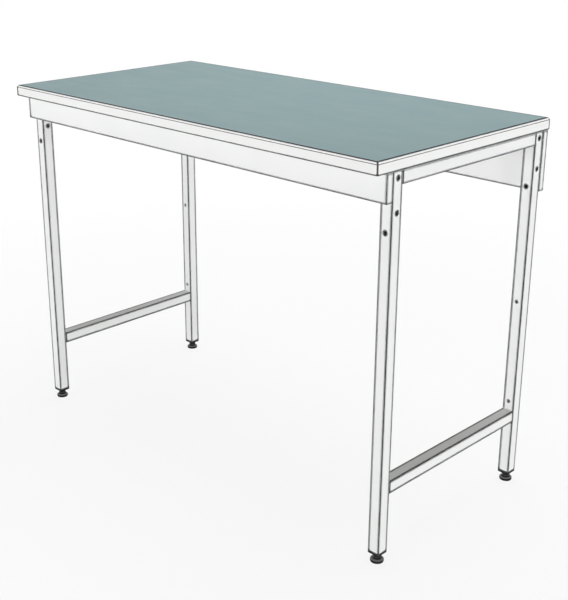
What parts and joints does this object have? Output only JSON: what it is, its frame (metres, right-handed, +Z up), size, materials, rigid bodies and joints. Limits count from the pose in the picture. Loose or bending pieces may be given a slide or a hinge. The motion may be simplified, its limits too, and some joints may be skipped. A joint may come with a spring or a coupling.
{
  "type": "laboratory bench",
  "caption": "Free-standing lab bench for use along a wall: laminated worktop with chamfered lipping on a square-tube steel frame with front and rear aprons and levelling feet.",
  "frame": {"origin": "on the floor under the middle of the worktop, with the feet screwed in", "axes": "+X along the bench, +Y to the wall, +Z up"},
  "size_m": [1.2, 0.6, 0.9],
  "materials": {
    "teal_laminate": "fine matt high-pressure laminate",
    "pale_lipping": "satin hard plastic edging",
    "chipboard": "raw pressed chips",
    "white_backing": "matt balancing sheet",
    "pale_powder_coat": "satin powder coat with a fine orange peel",
    "zinc_plate": "bright zinc plate",
    "black_plastic": "moulded satin black",
    "blackened_steel": "blackened and oiled"
  },
  "bodies": {
    "bench": {"worktop_laminate": "teal_laminate", "lipping_front": "pale_lipping", "lipping_right": "pale_lipping", "lipping_rear": "pale_lipping", "lipping_left": "pale_lipping", "worktop_board": "chipboard", "worktop_backing": "white_backing", "leg_front_left": "pale_powder_coat", "leg_front_right": "pale_powder_coat", "leg_rear_left": "pale_powder_coat", "leg_rear_right": "pale_powder_coat", "upper_rail_left": "pale_powder_coat", "upper_rail_right": "pale_powder_coat", "lower_rail_left": "pale_powder_coat", "lower_rail_right": "pale_powder_coat", "front_apron": "pale_powder_coat", "rear_apron": "pale_powder_coat", "front_apron_bolt_left": "zinc_plate", "front_apron_bolt_right": "zinc_plate", "front_apron_nut_left": "zinc_plate", "front_apron_nut_right": "zinc_plate", "nut_strip_left": "zinc_plate", "nut_strip_right": "zinc_plate", "rear_apron_bolt_left_lower": "zinc_plate", "rear_apron_bolt_left_upper": "zinc_plate", "rear_apron_bolt_right_lower": "zinc_plate", "rear_apron_bolt_right_upper": "zinc_plate", "worktop_screw_left_front": "zinc_plate", "worktop_screw_left_rear": "zinc_plate", "worktop_screw_right_front": "zinc_plate", "worktop_screw_right_rear": "zinc_plate", "foot_nut_front_left": "zinc_plate", "foot_nut_front_right": "zinc_plate", "foot_nut_rear_left": "zinc_plate", "foot_nut_rear_right": "zinc_plate", "leg_plug_front_left": "black_plastic", "leg_plug_front_right": "black_plastic", "leg_plug_rear_left": "black_plastic", "leg_plug_rear_right": "black_plastic"},
    "pad_front_left": {"foot_pad_front_left": "black_plastic"},
    "stud_front_left": {"foot_stud_front_left": "blackened_steel"},
    "pad_front_right": {"foot_pad_front_right": "black_plastic"},
    "stud_front_right": {"foot_stud_front_right": "blackened_steel"},
    "pad_rear_left": {"foot_pad_rear_left": "black_plastic"},
    "stud_rear_left": {"foot_stud_rear_left": "blackened_steel"},
    "pad_rear_right": {"foot_pad_rear_right": "black_plastic"},
    "stud_rear_right": {"foot_stud_rear_right": "blackened_steel"}
  },
  "joints": [
    {"name": "foot_front_left_height", "type": "slide", "parent": "bench", "child": "pad_front_left", "axis": [0, 0, 1], "range_m": [-0.025, 0]},
    {"name": "foot_front_left_turn", "type": "hinge", "parent": "pad_front_left", "child": "stud_front_left", "pos_m": [-0.583, -0.2342, 0.02], "axis": [0, 0, 1], "range_deg": [-6001, 0]},
    {"name": "foot_front_right_height", "type": "slide", "parent": "bench", "child": "pad_front_right", "axis": [0, 0, 1], "range_m": [-0.025, 0]},
    {"name": "foot_front_right_turn", "type": "hinge", "parent": "pad_front_right", "child": "stud_front_right", "pos_m": [0.583, -0.2342, 0.02], "axis": [0, 0, 1], "range_deg": [-6001, 0]},
    {"name": "foot_rear_left_height", "type": "slide", "parent": "bench", "child": "pad_rear_left", "axis": [0, 0, 1], "range_m": [-0.025, 0]},
    {"name": "foot_rear_left_turn", "type": "hinge", "parent": "pad_rear_left", "child": "stud_rear_left", "pos_m": [-0.583, 0.2647, 0.02], "axis": [0, 0, 1], "range_deg": [-6001, 0]},
    {"name": "foot_rear_right_height", "type": "slide", "parent": "bench", "child": "pad_rear_right", "axis": [0, 0, 1], "range_m": [-0.025, 0]},
    {"name": "foot_rear_right_turn", "type": "hinge", "parent": "pad_rear_right", "child": "stud_rear_right", "pos_m": [0.583, 0.2647, 0.02], "axis": [0, 0, 1], "range_deg": [-6001, 0]}
  ],
  "couplings": [
    {"joint": "foot_front_left_turn", "follows": "foot_front_left_height", "rad_per_m": 4188.8},
    {"joint": "foot_front_right_turn", "follows": "foot_front_right_height", "rad_per_m": 4188.8},
    {"joint": "foot_rear_left_turn", "follows": "foot_rear_left_height", "rad_per_m": 4188.8},
    {"joint": "foot_rear_right_turn", "follows": "foot_rear_right_height", "rad_per_m": 4188.8}
  ]
}
